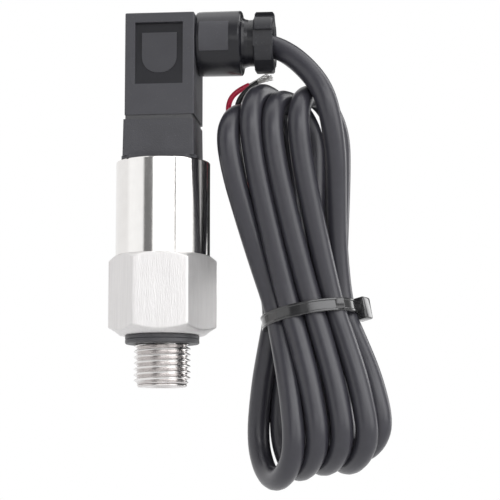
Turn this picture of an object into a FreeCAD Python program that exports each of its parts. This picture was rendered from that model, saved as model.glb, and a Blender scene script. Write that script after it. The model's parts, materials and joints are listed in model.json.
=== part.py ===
"""Pressure transmitter with an angled square connector and one metre of cable tied in a hank.

Frame: millimetres, +Z up along the pressure stud's axis, +X towards the cable gland.
Z = 0 is the seat plane at the top of the G 1/4 stud, where the seal ring meets the port.
"""
import FreeCAD
import Part
import math
import os

V = FreeCAD.Vector
X_AXIS, Y_AXIS, Z_AXIS = V(1, 0, 0), V(0, 1, 0), V(0, 0, 1)

# ---- driving dimensions ------------------------------------------------------------------
THREAD_R = 13.157 / 2        # G 1/4 major radius
THREAD_ROOT_R = 11.445 / 2   # G 1/4 root radius
HEX_AF = 22.0                # spanner size
HEX_TURN = 5.3               # the hexagon's turn about Z, degrees
HEX_FOOT_R = 9.9             # flat ring under the hexagon
HEX_KNEE = (11.2, 1.0)       # the turned underside's knee: radius, height above the flat
HEX_LOW_SLOPE = 0.6
HEX_TOP_SLOPE = 0.75
BODY_R = 11.0                # steel sleeve
PLUG_HALF = 8.1              # half the square connector's width
PLUG_SHIFT = 0.15            # the hood stands this far off the axis towards the gland
CABLE_R = 2.6
CORE_R = 0.65
GLAND_Z = 70.85              # height of the cable gland's axis
HANK_TURN = 5.8              # the tied hank hangs turned about Z by this, degrees

# heights along the stud's axis
STUD_END = -9.85
THREAD_START = -8.4
THREAD_TOP = 0.1
HEX_Z = (2.1, 20.5)
SLEEVE_Z = (20.5, 42.5)
BASE_TOP = 51.65
PLUG_Z = (52.7, 76.8)

# sensing cell chamber inside the hexagon
CHAMBER_R = 9.2
CHAMBER_FLOOR = 10.0
CELL_Z = (10.14, 16.49)
CELL_RING_TOP = 18.8
SPIGOT_R = 10.15
SPIGOT_TOP = 23.3
SLEEVE_BORE_R = 10.2

# circuit board
BOARD_THICK = 1.2
BOARD_Z = (21.8, 39.3)
BOARD_HALF = 7.5

# contact blades
BLADE_REACH = 4.0            # from the axis to each blade
BLADE_THICK = 0.5
BLADE_WIDTH = 2.8
BLADE_TOP = PLUG_Z[0] + 7.2
BLADE_CLEAR = 0.06           # running clearance in the socket's slot

# retaining screw
SCREW_R = 1.5
SCREW_CLEAR = 0.06
SCREW_BOTTOM = SLEEVE_Z[1] + 2.3
HEAD_SEAT = PLUG_Z[1] - 2.8   # floor of the screw head's counterbore
HEAD_Z = (HEAD_SEAT + 0.95, HEAD_SEAT + 2.7)
HEAD_R = 2.75

# cable gland, along X
COLLAR_R = 7.6
COLLAR_X = (7.6, 18.7)
NECK_R = 5.45
NECK_X = (19.0, 23.7)
NECK_BORE_R = 4.8
WASHER_X = (23.75, 24.5)
WASHER_BORE_R = 3.9
NUT_X = (21.7, 26.2)
NUT_R = 7.25
NUT_CORE_R = 6.15            # floor of the grip grooves
NUT_HOLE_R = 4.2
NUT_LOBES = 6
NUT_GROOVE_HALF = 1.95
NUT_TURN = 32.0              # the first groove's turn from the top, degrees
NUT_RUN_CLEAR = 0.06

# terminal insert inside the connector
INSERT_HALF = 6.6
INSERT_Z = (PLUG_Z[0] + 0.1, PLUG_Z[0] + 12.25)
SOCKET_Z = (INSERT_Z[0] + 0.3, PLUG_Z[0] + 9.25)
CAVITY_TOP = PLUG_Z[1] - 4.05

# cable tie
STRAP_WIDTH = 3.0
STRAP_THICK = 1.0
WAIST = (34.2, 0.2, 6.65)    # centre of the tied waist in the hank's own frame
STRAP_SLOPE = 9.4            # the strap rises towards +X, degrees
STRAP_TILT = 8.0             # and falls away from the front, degrees
RATCHET_TURN = -30.0         # the ratchet head's turn about the bundle, degrees
WAIST_SEMI = (10.4, 8.8)     # inside half width and half depth of the strap


# ---- shape helpers -----------------------------------------------------------------------
def cylinder(radius, low, high, x=0.0, y=0.0):
    """Upright cylinder between two heights."""
    return Part.makeCylinder(radius, high - low, V(x, y, low), Z_AXIS)


def bar(radius, x_low, x_high):
    """Cylinder along X on the gland's axis."""
    return Part.makeCylinder(radius, x_high - x_low, V(x_low, 0, GLAND_Z), X_AXIS)


def block(x_low, x_high, y_low, y_high, z_low, z_high):
    return Part.makeBox(x_high - x_low, y_high - y_low, z_high - z_low, V(x_low, y_low, z_low))


def square_block(half, low, high, corner_r=0.0):
    """Square prism on the axis, its upright edges rounded."""
    prism = block(-half, half, -half, half, low, high)
    if corner_r:
        upright = [e for e in prism.Edges if abs(e.tangentAt(e.FirstParameter).z) > 0.99]
        prism = prism.makeFillet(corner_r, upright)
    return prism


def revolve(points, centre=V(0, 0, 0), axis=Z_AXIS):
    """Solid of revolution from a closed (radius, height) outline."""
    if axis == Z_AXIS:
        outline = [centre + V(r, 0, h) for r, h in points]
    else:
        outline = [centre + V(h, 0, r) for r, h in points]
    face = Part.Face(Part.makePolygon(outline + outline[:1]))
    return face.revolve(centre, axis, 360)


def torus(major, minor, height, axis=Z_AXIS):
    return Part.makeTorus(major, minor, V(0, 0, height), axis)


def turned(shape, degrees, centre=V(0, 0, 0), axis=Z_AXIS):
    copy = shape.copy()
    copy.rotate(centre, axis, degrees)
    return copy


def fused(shapes):
    return shapes[0].multiFuse(shapes[1:]).removeSplitter()


def edge_heights(shape, height, tolerance=0.01):
    """Edges that lie flat at one height."""
    found = []
    for edge in shape.Edges:
        box = edge.BoundBox
        if abs(box.ZMin - height) < tolerance and abs(box.ZMax - height) < tolerance:
            found.append(edge)
    return found


def bent_path(points, name):
    """Straight runs joined by tangent arcs, each arc as large as its shorter run allows."""
    edges = []
    start = points[0]
    radii = []
    for before, corner, after in zip(points, points[1:], points[2:]):
        into = (corner - before).normalize()
        out = (after - corner).normalize()
        half_turn = into.getAngle(out) / 2
        leg = 0.45 * min(before.distanceToPoint(corner), corner.distanceToPoint(after))
        radii.append(leg / math.tan(half_turn))
        first = corner - into * leg
        last = corner + out * leg
        inward = (out - into).normalize()
        middle = corner + inward * (radii[-1] / math.cos(half_turn) - radii[-1])
        edges.append(Part.LineSegment(start, first).toShape())
        edges.append(Part.Arc(first, middle, last).toShape())
        start = last
    edges.append(Part.LineSegment(start, points[-1]).toShape())
    print(name, "bend radii", [round(r, 1) for r in radii])
    return Part.Wire(edges)


def tube_along(points, radius, name):
    """Round cord along a bent path, its volume compared with section times length."""
    path = bent_path(points, name)
    direction = (points[1] - points[0]).normalize()
    ring = Part.Wire(Part.makeCircle(radius, points[0], direction))
    tube = path.makePipeShell([ring], True, False)
    expected = math.pi * radius ** 2 * path.Length
    print(name, "length", round(path.Length, 1), "volume ratio", round(tube.Volume / expected, 4))
    return tube


def hank_point(u, w, z):
    """Place of a point of the hank's own frame: u across, w away from the front, z up."""
    turn = math.radians(HANK_TURN)
    return V(u * math.cos(turn) - w * math.sin(turn), u * math.sin(turn) + w * math.cos(turn), z)


# ---- the steel body ----------------------------------------------------------------------
def process_fitting():
    """Turned stainless stud with its hexagon, pressure port and sensing cell chamber."""
    hex_low, hex_high = HEX_Z
    corner_r = HEX_AF / math.sqrt(3)
    hexagon = Part.Face(Part.makePolygon(
        [V(corner_r * math.cos(math.radians(60 * k + HEX_TURN)),
           corner_r * math.sin(math.radians(60 * k + HEX_TURN)), hex_low) for k in range(7)]))
    hexagon = hexagon.extrude(V(0, 0, hex_high - hex_low))
    wide, top_r = corner_r + 0.2, BODY_R + 0.05
    hexagon = hexagon.common(revolve([
        (0, hex_low), (HEX_FOOT_R, hex_low), (HEX_KNEE[0], hex_low + HEX_KNEE[1]),
        (wide, hex_low + HEX_KNEE[1] + (wide - HEX_KNEE[0]) * HEX_LOW_SLOPE),
        (wide, hex_high - (wide - top_r) * HEX_TOP_SLOPE), (top_r, hex_high), (0, hex_high)]))
    relief_r = THREAD_ROOT_R + 0.35
    stud = revolve([
        (0, STUD_END), (5.6, STUD_END), (5.75, STUD_END + 0.15), (5.75, STUD_END + 0.9),
        (THREAD_R, THREAD_START), (THREAD_R, THREAD_TOP), (relief_r, THREAD_TOP),
        (relief_r, hex_low), (0, hex_low)])
    spigot = cylinder(SPIGOT_R, hex_high, SPIGOT_TOP)
    body = fused([stud, hexagon, spigot])
    port = revolve([
        (0, STUD_END), (2.5, STUD_END), (2.5, 0.5), (1.0, 1.4), (1.0, CHAMBER_FLOOR - 0.8),
        (3.2, CHAMBER_FLOOR - 0.8), (3.2, CHAMBER_FLOOR), (CHAMBER_R, CHAMBER_FLOOR),
        (CHAMBER_R, SPIGOT_TOP), (0, SPIGOT_TOP)])
    groove = cylinder(7.2, CHAMBER_FLOOR - 1.3, CHAMBER_FLOOR).cut(
        cylinder(5.0, CHAMBER_FLOOR - 1.3, CHAMBER_FLOOR))
    return body.cut(port).cut(groove)


def seal_ring():
    """Moulded rubber ring under the hexagon, with a fine groove round its rim."""
    bore, rim, low, high = THREAD_ROOT_R + 0.4, 8.6, THREAD_TOP, HEX_Z[0]
    middle = (low + high) / 2
    return revolve([
        (bore, low), (rim - 0.2, low), (rim, low + 0.2), (rim, middle - 0.12), (rim - 0.15, middle),
        (rim, middle + 0.12), (rim, high - 0.2), (rim - 0.2, high), (bore, high)])


def cell_o_ring():
    return torus(6.1, 0.72, CHAMBER_FLOOR - 1.3 + 0.72)


def ceramic_cell():
    """Ceramic sensing cell with three locating notches in its edge."""
    cell = cylinder(9.0, *CELL_Z)
    for k in range(3):
        angle = math.radians(120 * k + 30)
        cell = cell.cut(cylinder(0.9, CELL_Z[0], CELL_Z[1], 9.0 * math.cos(angle), 9.0 * math.sin(angle)))
    return cell


def cell_retaining_ring():
    """Ring that clamps the cell, with two spanner slots across its top."""
    ring = cylinder(CHAMBER_R - 0.05, CELL_Z[1], CELL_RING_TOP).cut(cylinder(6.6, CELL_Z[1], CELL_RING_TOP))
    return ring.cut(block(-1.0, 1.0, -10, 10, CELL_RING_TOP - 1.0, CELL_RING_TOP))


def cell_pins():
    """Four terminal pins from the cell to the board's lower edge."""
    top = BOARD_Z[0] + 2.6
    return Part.makeCompound([cylinder(0.25, CELL_Z[1], top, x, -0.25) for x in (-3.75, -1.25, 1.25, 3.75)])


def circuit_board():
    """Upright board whose lower corners are notched to clear the retaining ring."""
    board = block(-BOARD_HALF, BOARD_HALF, 0, BOARD_THICK, *BOARD_Z)
    for side in (-1, 1):
        notch = block(-1.2, 1.2, 0, BOARD_THICK, BOARD_Z[0], BOARD_Z[0] + 2.2)
        notch.translate(V(side * BOARD_HALF, 0, 0))
        board = board.cut(notch)
    return board


def amplifier_chip():
    low = BOARD_Z[0] + 5.5
    return block(-2.5, 2.5, -1.5, 0, low, low + 4.0)


def trim_pots():
    """Zero and span trimmers, each with an adjusting screw on its face."""
    pots = []
    low = BOARD_Z[1] - 6.7
    for x in (-4.4, 4.4):
        body = block(x - 1.6, x + 1.6, -2.6, 0, low, low + 3.2)
        screw = Part.makeCylinder(0.8, 0.4, V(x, -2.6, low + 1.6), V(0, -1, 0))
        pots.append(fused([body, screw]))
    return Part.makeCompound(pots)


def board_leads():
    """Two short wires from the front and rear contact tails down to the board's faces."""
    top = BOARD_Z[1]
    rear = [V(0, BLADE_REACH, top), V(0, BLADE_REACH, top - 1.9), V(0, 2.6, top - 3.6),
            V(0, BOARD_THICK + 0.1, top - 4.1)]
    front = [V(0, -BLADE_REACH, top), V(0, -BLADE_REACH, top - 2.1), V(0, -2.2, top - 3.9), V(0, -0.1, top - 4.5)]
    return Part.makeCompound([tube_along(rear, 0.35, "rear lead"), tube_along(front, 0.35, "front lead")])


def housing_sleeve():
    """Steel tube welded to the hexagon's spigot, its upper edge broken."""
    low, high = SLEEVE_Z
    return revolve([
        (SLEEVE_BORE_R, low), (BODY_R, low), (BODY_R, high - 0.25), (BODY_R - 0.08, high - 0.07),
        (BODY_R - 0.25, high), (SLEEVE_BORE_R, high)])


# ---- the connector base ------------------------------------------------------------------
def blade_places():
    """Centre and turn of each blade: three contacts, then the earth."""
    return [(BLADE_REACH, 0, 0), (0, -BLADE_REACH, 90), (-BLADE_REACH, 0, 0), (0, BLADE_REACH, 90)]


def placed_blade(shape, number):
    """Move a blade-shaped piece, thin along X, from the axis to its contact's place."""
    x, y, turn = blade_places()[number]
    moved = turned(shape, turn)
    moved.translate(V(x, y, 0))
    return moved


def contact_blade(number):
    """Flat tinned blade with a chamfered tip and a narrow solder tail."""
    half_t, half_w, shoulder = BLADE_THICK / 2, BLADE_WIDTH / 2, SLEEVE_Z[1] + 0.8
    outline = [V(-half_t, -half_w, shoulder), V(-half_t, -half_w, BLADE_TOP - 0.8),
               V(-half_t, -half_w + 0.8, BLADE_TOP), V(-half_t, half_w - 0.8, BLADE_TOP),
               V(-half_t, half_w, BLADE_TOP - 0.8), V(-half_t, half_w, shoulder),
               V(-half_t, 0.6, shoulder), V(-half_t, 0.6, BOARD_Z[1]), V(-half_t, -0.6, BOARD_Z[1]),
               V(-half_t, -0.6, shoulder)]
    blade = Part.Face(Part.makePolygon(outline + outline[:1])).extrude(V(BLADE_THICK, 0, 0))
    return placed_blade(blade, number)


def connector_base():
    """Glass-filled base: round spigot in the sleeve, lip, and slightly tapered square tower."""
    rim = SLEEVE_Z[1]
    spigot = revolve([
        (0, rim - 4.8), (9.7, rim - 4.8), (10.12, rim - 4.4), (10.12, rim - 3.5), (9.25, rim - 3.5),
        (9.25, rim - 1.7), (10.12, rim - 1.7), (10.12, rim), (0, rim)])
    lip = square_block(8.8, rim, rim + 0.8, 0.5).common(cylinder(BODY_R - 0.05, rim, rim + 0.8))
    tower = Part.makeLoft([square_wire(8.33, rim + 0.6, 0.35), square_wire(8.2, BASE_TOP, 0.35)], True, True)
    plinth = square_block(5.7, BASE_TOP - 0.5, PLUG_Z[0], 0.6)
    base = fused([spigot, lip, tower, plinth])
    board_room = block(-8.0, 8.0, -5.6, 5.6, rim - 4.8, rim + 0.8)
    board_room = board_room.common(cylinder(8.6, rim - 4.8, rim + 0.8))
    base = base.cut(board_room)
    base = base.cut(cylinder(SCREW_R + SCREW_CLEAR, SCREW_BOTTOM - 0.6, PLUG_Z[0]))
    for number in range(4):
        base = base.cut(contact_blade(number))
    return base


def square_wire(half, height, corner_r):
    """Rounded square outline at one height."""
    face = square_block(half, height, height + 1.0, corner_r)
    for wire in (f.OuterWire for f in face.Faces):
        if wire.BoundBox.ZMax < height + 0.01:
            return wire
    raise ValueError("no outline at that height")


def base_o_ring():
    return torus(9.725, 0.47, SLEEVE_Z[1] - 2.6)


def base_gasket():
    """Flat rubber frame between the base and the connector."""
    outer = square_block(7.85, BASE_TOP, PLUG_Z[0], 0.6)
    return outer.cut(square_block(5.7, BASE_TOP - 1, PLUG_Z[0] + 1, 0.6))


# ---- the angled connector ----------------------------------------------------------------
def face_panel(mirror):
    """Cutter for the sloping panel recess of a broad side, leaving a plain raised pad in it."""
    x_low, x_high, z_low, z_high, deep = -5.55, 5.6, PLUG_Z[1] - 16.9, PLUG_Z[1] - 2.3, 0.9
    front = -PLUG_HALF
    wedge = [V(x_low, front - 0.5, z_high), V(x_low, front + deep, z_high), V(x_low, front + 0.02, z_low),
             V(x_low, front - 0.5, z_low)]
    cutter = Part.Face(Part.makePolygon(wedge + wedge[:1])).extrude(V(x_high - x_low, 0, 0))
    pad = block(-3.95, 4.2, front + 0.1, front + 1.2, z_low + 2.7, z_high - 2.5)
    foot = [e for e in pad.Edges if abs(e.tangentAt(e.FirstParameter).y) > 0.99
            and e.CenterOfMass.z < (z_low + z_high) / 2]
    pad = pad.makeFillet(3.7, foot)
    cutter = cutter.cut(pad)
    if mirror:
        cutter = turned(cutter, 180)
        cutter = cutter.mirror(V(0, 0, 0), X_AXIS)
    return cutter


def collar_pads():
    """Thin textured grip pads that follow the collar's front and rear flanks."""
    low, high = 9.2, 16.1
    ring = bar(COLLAR_R + 0.25, low, high).cut(bar(COLLAR_R - 1.0, low, high))
    pads = ring.common(block(low, high, -9, 9, GLAND_Z - 3.2, GLAND_Z + 3.85))
    ends = [e for e in pads.Edges if abs(e.tangentAt(e.FirstParameter).y) > 0.6
            and abs(e.BoundBox.XLength) < 0.01]
    return pads.makeFillet(0.4, ends)


def plug_housing():
    """Angled housing: square hood over the base, round collar towards the gland, threaded neck."""
    low, high = PLUG_Z
    hood = square_block(PLUG_HALF, low, high, 0.35)
    hood = hood.makeFillet(0.33, edge_heights(hood, high))
    hood.translate(V(PLUG_SHIFT, 0, 0))
    start, end = COLLAR_X
    barrel = gland_revolve([
        (0, start), (COLLAR_R - 0.75, start), (COLLAR_R - 0.5, start + 0.45), (COLLAR_R - 0.15, start + 0.75),
        (COLLAR_R - 0.05, start + 1.1), (COLLAR_R, start + 2.0), (COLLAR_R + 0.05, end - 0.5),
        (COLLAR_R - 0.05, end - 0.18), (COLLAR_R - 0.3, end), (NECK_R + 1.0, end), (NECK_R + 0.55, end + 0.25),
        (NECK_R + 0.2, end + 0.8), (NECK_R, end + 1.6), (NECK_R, NECK_X[1]), (0, NECK_X[1])])
    body = fused([hood, barrel, collar_pads()])
    lower_room = square_block(INSERT_HALF + 0.02, low, INSERT_Z[1], 0.4)
    wiring_room = block(-5.8, 7.0, -6.0, 6.0, INSERT_Z[1], CAVITY_TOP)
    wiring_room = wiring_room.cut(cylinder(2.7, INSERT_Z[1], CAVITY_TOP))
    body = body.cut(lower_room).cut(wiring_room)
    body = body.cut(bar(3.4, 6.0, NECK_X[0])).cut(bar(NECK_BORE_R, NECK_X[0], NECK_X[1]))
    body = body.cut(cylinder(HEAD_R + 0.3, HEAD_SEAT, high)).cut(cylinder(SCREW_R + 0.2, INSERT_Z[1], high))
    for mirror in (False, True):
        body = body.cut(face_panel(mirror))
    return body


def socket_shape():
    """Brass socket, thin along X, before its slot is cut."""
    return block(-0.95, 0.95, -1.9, 1.9, *SOCKET_Z)


def terminal_insert():
    """Moulded insert that carries the four sockets and guides the retaining screw."""
    insert = square_block(INSERT_HALF, *INSERT_Z, corner_r=0.4)
    insert = insert.cut(cylinder(SCREW_R + 0.2, *INSERT_Z))
    slot = block(-0.45, 0.45, -1.6, 1.6, INSERT_Z[0], SOCKET_Z[0])
    pocket = block(-0.95, 0.95, -1.9, 1.9, SOCKET_Z[0], INSERT_Z[1])
    for number in range(4):
        insert = insert.cut(placed_blade(slot, number)).cut(placed_blade(pocket, number))
    return insert


def socket_contact(number):
    half_t = BLADE_THICK / 2 + BLADE_CLEAR
    half_w = BLADE_WIDTH / 2 + BLADE_CLEAR
    socket = socket_shape().cut(block(-half_t, half_t, -half_w, half_w, SOCKET_Z[0], BLADE_TOP + 0.4))
    return placed_blade(socket, number)


def clamp_screws():
    """Four small slotted screws, one on each socket."""
    screws = []
    for number in range(4):
        top = SOCKET_Z[1] + 1.7
        screw = cylinder(0.85, SOCKET_Z[1], top, 0, -0.9)
        screw = screw.cut(block(-0.2, 0.2, -1.9, 0.1, top - 0.4, top))
        screws.append(placed_blade(screw, number))
    return Part.makeCompound(screws)


def retaining_screw():
    """Long cheese-head screw with a driver slot."""
    head = revolve([
        (0, HEAD_Z[0]), (HEAD_R, HEAD_Z[0]), (HEAD_R, HEAD_Z[1] - 0.25), (HEAD_R - 0.25, HEAD_Z[1]),
        (0, HEAD_Z[1])])
    shank = revolve([(0, SCREW_BOTTOM), (1.1, SCREW_BOTTOM), (SCREW_R, SCREW_BOTTOM + 0.4),
                     (SCREW_R, HEAD_Z[0]), (0, HEAD_Z[0])])
    return fused([head, shank]).cut(block(-3.5, 3.5, -0.4, 0.4, HEAD_Z[1] - 0.9, HEAD_Z[1]))


def screw_o_ring():
    return torus(2.15, 0.45, HEAD_SEAT + 0.45)


# ---- the cable gland ---------------------------------------------------------------------
def gland_revolve(points):
    """Solid of revolution about the gland's axis from a closed (radius, x) outline."""
    return revolve(points, V(0, 0, GLAND_Z), X_AXIS)


def cable_grommet():
    """Rubber bush that seals the cable, with a tapered nose."""
    return gland_revolve([
        (CABLE_R, NECK_X[0]), (NECK_BORE_R - 0.4, NECK_X[0]), (NECK_BORE_R - 0.02, NECK_X[0] + 1.2),
        (NECK_BORE_R - 0.02, NECK_X[1]), (CABLE_R, NECK_X[1])])


def gland_washer():
    low, high = WASHER_X
    return gland_revolve([(WASHER_BORE_R, low), (5.15, low), (5.15, high), (WASHER_BORE_R, high)])


def gland_nut():
    """Union nut with six grip lobes, a flared mouth and a running fit on the neck."""
    low, high = NUT_X
    nut = gland_revolve([
        (0, low), (NUT_R - 0.5, low), (NUT_R, low + 0.4), (NUT_R, high - 0.35), (NUT_R - 0.35, high), (0, high)])
    groove = block(low - 1, high + 1, -NUT_GROOVE_HALF, NUT_GROOVE_HALF, NUT_CORE_R, NUT_R + 2)
    groove.translate(V(0, 0, GLAND_Z))
    for k in range(NUT_LOBES):
        nut = nut.cut(turned(groove, NUT_TURN + 360.0 / NUT_LOBES * k, V(0, 0, GLAND_Z), X_AXIS))
    thread_room = bar(NECK_R + NUT_RUN_CLEAR, low, WASHER_X[1])
    mouth = gland_revolve([
        (0, WASHER_X[1]), (NUT_HOLE_R, WASHER_X[1]), (NUT_HOLE_R + 0.05, high - 0.9), (NUT_HOLE_R + 0.25, high - 0.4),
        (NUT_HOLE_R + 0.7, high), (0, high)])
    return nut.cut(thread_room).cut(mouth)


# ---- the cable ---------------------------------------------------------------------------
# route of the free stretch in the hank's own frame (u across, w away, z up), from the jacket's
# end inside the collar, out of the gland, forward over the hank's shoulder and down into it
LEAD_ROUTE = [
    (13.1, -1.3, 70.85), (18.4, -1.9, 70.85), (23.9, -2.4, 70.7), (29.0, -3.6, 68.4),
    (33.5, -5.3, 64.2), (37.0, -7.4, 59.0), (38.8, -8.2, 53.2)]

# the hank's outer shape: height, middle across, half width, half depth
HANK_SECTIONS = [
    (61.2, 31.2, 6.0, 3.6), (58.4, 30.9, 11.1, 8.2), (52.8, 29.3, 14.5, 10.6), (45.7, 28.6, 15.8, 11.4),
    (30.5, 30.1, 13.9, 10.6), (17.3, 32.2, 11.5, 9.4), (7.6, 34.1, 10.9, 9.2), (-2.0, 34.8, 13.2, 10.8),
    (-12.2, 35.5, 15.4, 12.4), (-20.4, 35.3, 16.0, 12.8), (-27.0, 32.6, 13.6, 10.8), (-31.6, 28.5, 8.6, 7.6),
    (-33.8, 26.6, 5.2, 4.8)]

RED_ROUTE = [
    (20.6, 7.7, 34.6), (20.0, 7.6, 40.9), (18.4, 7.0, 47.3), (15.6, 5.5, 52.5), (14.9, 3.8, 57.1),
    (16.8, 2.8, 60.4), (20.2, 2.4, 61.8)]
BLACK_ROUTE = [
    (19.0, 5.9, 34.3), (19.5, 5.5, 40.9), (19.1, 4.7, 47.5), (17.2, 3.5, 52.9), (17.2, 2.0, 57.2),
    (19.4, 0.9, 60.3), (22.2, 0.3, 61.9)]
RED_TIP = (24.8, 1.5, 64.0)
BLACK_TIP = (25.7, -0.2, 63.1)


def cable_lead():
    return tube_along([hank_point(*p) for p in LEAD_ROUTE], CABLE_R, "cable lead")


def hank_ellipse(height, middle, half_width, half_depth):
    ring = Part.Ellipse(hank_point(middle, 0, height), half_width, half_depth)
    wire = Part.Wire(ring.toShape())
    return turned(wire, HANK_TURN, hank_point(middle, 0, height))


def waist_frame(shape):
    """Move a piece made upright on the axis to the tied waist, square to the sloping strands."""
    moved = turned(shape, -STRAP_TILT, V(0, 0, 0), X_AXIS)
    moved = turned(moved, -STRAP_SLOPE, V(0, 0, 0), Y_AXIS)
    moved = turned(moved, HANK_TURN)
    moved.translate(hank_point(*WAIST))
    return moved


def waist_prism(grow, half_height):
    """Elliptic prism about the waist, larger than the strap's inside by grow."""
    ring = Part.Ellipse(V(0, 0, -half_height), WAIST_SEMI[0] + grow, WAIST_SEMI[1] + grow)
    return Part.Face(Part.Wire(ring.toShape())).extrude(V(0, 0, 2 * half_height))


def cable_hank(lead):
    """Outer shape of the tied hank, nipped under the strap and open where the lead enters."""
    body = Part.makeLoft([hank_ellipse(*section) for section in HANK_SECTIONS], True, False)
    nip = waist_prism(8.0, STRAP_WIDTH / 2).cut(waist_prism(0.0, STRAP_WIDTH / 2))
    return body.cut(waist_frame(nip)).cut(lead)


def cable_tie():
    """Nylon strap round the waist, its ratchet head at the right and the cut tail beside it."""
    half = STRAP_WIDTH / 2
    strap = waist_prism(STRAP_THICK, half).cut(waist_prism(0.0, half))
    reach = WAIST_SEMI[0] + STRAP_THICK
    head = block(reach - 0.7, reach + 2.5, -1.8, 1.8, -half - 1.5, half + 0.7)
    head = head.makeFillet(0.45, head.Edges)
    head = turned(head, RATCHET_TURN, V(reach + 0.9, 0, 0))
    head = head.cut(waist_prism(0.0, 4.0))
    tail = block(5.2, 7.9, -8.1, -5.5, -half + 0.15, half - 0.15).cut(waist_prism(STRAP_THICK - 0.3, 4.0))
    tail = tail.common(waist_prism(STRAP_THICK + 0.55, 4.0))
    return waist_frame(fused([strap, head, tail]))


def strand_tip(start, end, radius):
    """Short bare end of tinned strands."""
    first, last = hank_point(*start), hank_point(*end)
    return Part.makeCylinder(radius, first.distanceToPoint(last), first, last - first)


def inner_core(points, name):
    return tube_along([V(*p) for p in points], 0.6, name)


RED_INNER = [
    (12.95, 0.9, 70.85), (8.8, 1.15, 70.55), (5.2, 1.15, 69.4), (4.0, 1.15, 66.2), (4.0, 1.15, SOCKET_Z[1])]
BLACK_INNER = [
    (12.95, -0.9, 70.85), (9.0, -1.5, 70.6), (4.8, -3.4, 69.8), (0.8, -4.3, 68.2), (-1.15, -4.0, 65.4),
    (-1.15, -4.0, SOCKET_Z[1])]


def build():
    lead = cable_lead()
    pieces = {
        "process_fitting": process_fitting(),
        "seal_ring": seal_ring(),
        "cell_o_ring": cell_o_ring(),
        "ceramic_cell": ceramic_cell(),
        "cell_retaining_ring": cell_retaining_ring(),
        "cell_pins": cell_pins(),
        "circuit_board": circuit_board(),
        "amplifier_chip": amplifier_chip(),
        "trim_pots": trim_pots(),
        "board_leads": board_leads(),
        "housing_sleeve": housing_sleeve(),
        "base_o_ring": base_o_ring(),
        "connector_base": connector_base(),
        "base_gasket": base_gasket(),
        "earth_blade": contact_blade(3),
        "plug_housing": plug_housing(),
        "terminal_insert": terminal_insert(),
        "earth_socket": socket_contact(3),
        "clamp_screws": clamp_screws(),
        "retaining_screw": retaining_screw(),
        "screw_o_ring": screw_o_ring(),
        "inner_core_red": inner_core(RED_INNER, "inner red core"),
        "inner_core_black": inner_core(BLACK_INNER, "inner black core"),
        "cable_grommet": cable_grommet(),
        "gland_washer": gland_washer(),
        "gland_nut": gland_nut(),
        "cable_lead": lead,
        "cable_hank": cable_hank(lead),
        "cable_tie": cable_tie(),
        "red_core": tube_along([hank_point(*p) for p in RED_ROUTE], CORE_R, "red core"),
        "black_core": tube_along([hank_point(*p) for p in BLACK_ROUTE], CORE_R, "black core"),
        "red_strands": strand_tip(RED_ROUTE[-1], RED_TIP, 0.4),
        "black_strands": strand_tip(BLACK_ROUTE[-1], BLACK_TIP, 0.5),
    }
    for number in range(3):
        pieces["contact_blade_%d" % (number + 1)] = contact_blade(number)
        pieces["socket_contact_%d" % (number + 1)] = socket_contact(number)
    return pieces


os.makedirs("parts", exist_ok=True)
for node, shape in build().items():
    if not shape.isValid():
        raise ValueError(node + " is not a valid solid")
    shape.exportStep("parts/" + node + ".step")
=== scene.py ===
"""Looks of a pressure transmitter with an angled square connector and one metre of tied cable."""

import json
import math

import bmesh
import bpy
from mathutils import Matrix, Vector


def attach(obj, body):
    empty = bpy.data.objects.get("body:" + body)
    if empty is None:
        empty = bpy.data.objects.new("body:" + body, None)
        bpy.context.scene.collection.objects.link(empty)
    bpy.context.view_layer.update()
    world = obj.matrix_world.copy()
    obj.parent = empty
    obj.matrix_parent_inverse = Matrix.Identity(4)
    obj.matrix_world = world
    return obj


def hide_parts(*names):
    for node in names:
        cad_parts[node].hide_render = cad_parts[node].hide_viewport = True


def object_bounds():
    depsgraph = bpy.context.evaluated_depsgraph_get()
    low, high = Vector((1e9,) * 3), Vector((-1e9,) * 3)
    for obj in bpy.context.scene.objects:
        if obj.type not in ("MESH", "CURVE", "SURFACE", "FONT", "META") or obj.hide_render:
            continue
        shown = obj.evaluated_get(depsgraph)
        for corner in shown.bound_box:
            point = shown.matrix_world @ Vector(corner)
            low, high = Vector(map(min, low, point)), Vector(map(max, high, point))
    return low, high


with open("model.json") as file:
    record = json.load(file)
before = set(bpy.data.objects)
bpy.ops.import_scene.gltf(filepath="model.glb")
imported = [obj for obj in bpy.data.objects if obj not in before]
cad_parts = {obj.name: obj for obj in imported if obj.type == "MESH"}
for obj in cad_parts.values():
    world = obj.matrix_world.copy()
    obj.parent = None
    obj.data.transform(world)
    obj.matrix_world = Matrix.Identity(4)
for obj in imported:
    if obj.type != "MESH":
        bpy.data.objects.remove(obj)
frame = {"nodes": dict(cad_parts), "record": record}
cad_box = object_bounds()

MM = 0.001
SCENE = bpy.context.scene

# ---- sizes, in millimetres ---------------------------------------------------------------
CABLE_R = 2.6
CORE_R = 0.65
HANK_TURN = math.radians(5.8)      # the tied hank hangs turned about Z by this

THREAD_R = 6.5785                  # G 1/4 major radius
THREAD_DEPTH = 0.856
THREAD_PITCH = 1.337
THREAD_Z = (-8.4, 0.1)
STUD_END = -9.85
PILOT_R = 5.75
RELIEF_R = 6.07
SHOULDER_R = 6.4                   # inner edge of the hexagon's flat underside
PORT_R = 2.5
CAPILLARY_R = 1.0
SPIGOT_R = 10.15                   # the sleeve sits on this, above the hexagon
SPIGOT_TOP = 23.3
CHAMBER_R = 9.2
CHAMBER_FLOOR = 10.0
ROUND_STEPS = 96                   # facets round a turned form

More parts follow.
